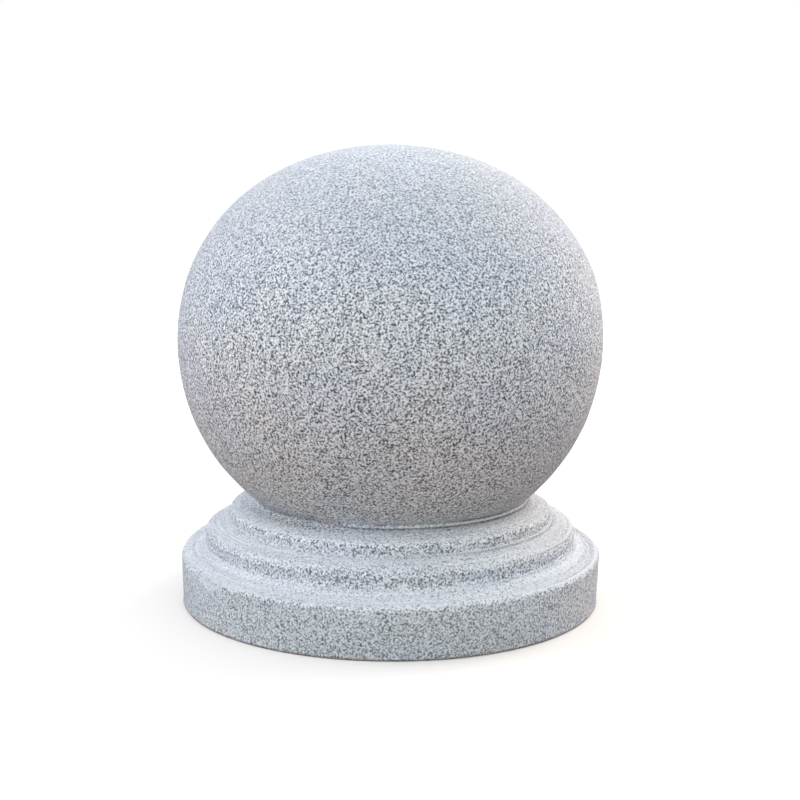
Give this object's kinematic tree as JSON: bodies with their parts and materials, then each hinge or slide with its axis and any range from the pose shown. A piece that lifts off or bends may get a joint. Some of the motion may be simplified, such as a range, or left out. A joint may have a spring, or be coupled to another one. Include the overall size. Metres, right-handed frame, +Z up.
{
  "type": "pier ball",
  "caption": "Granite ball on a round stepped and moulded base with a thick disc plinth, carved from a single block to stand on a gate pier.",
  "frame": {"origin": "middle of the flat underside, level with the surface that it stands on", "axes": "+Z up along the middle line of the ball and base; the base is round, so +X and +Y are any two level directions, and -Y faces the viewer"},
  "size_m": [0.401, 0.401, 0.4338],
  "materials": {
    "granite": "light grey granite with fine dark flecks, dressed fine and matt, a little bruised and whitened on the ledges"
  },
  "bodies": {
    "root": {"pier_ball": "granite"}
  },
  "joints": []
}
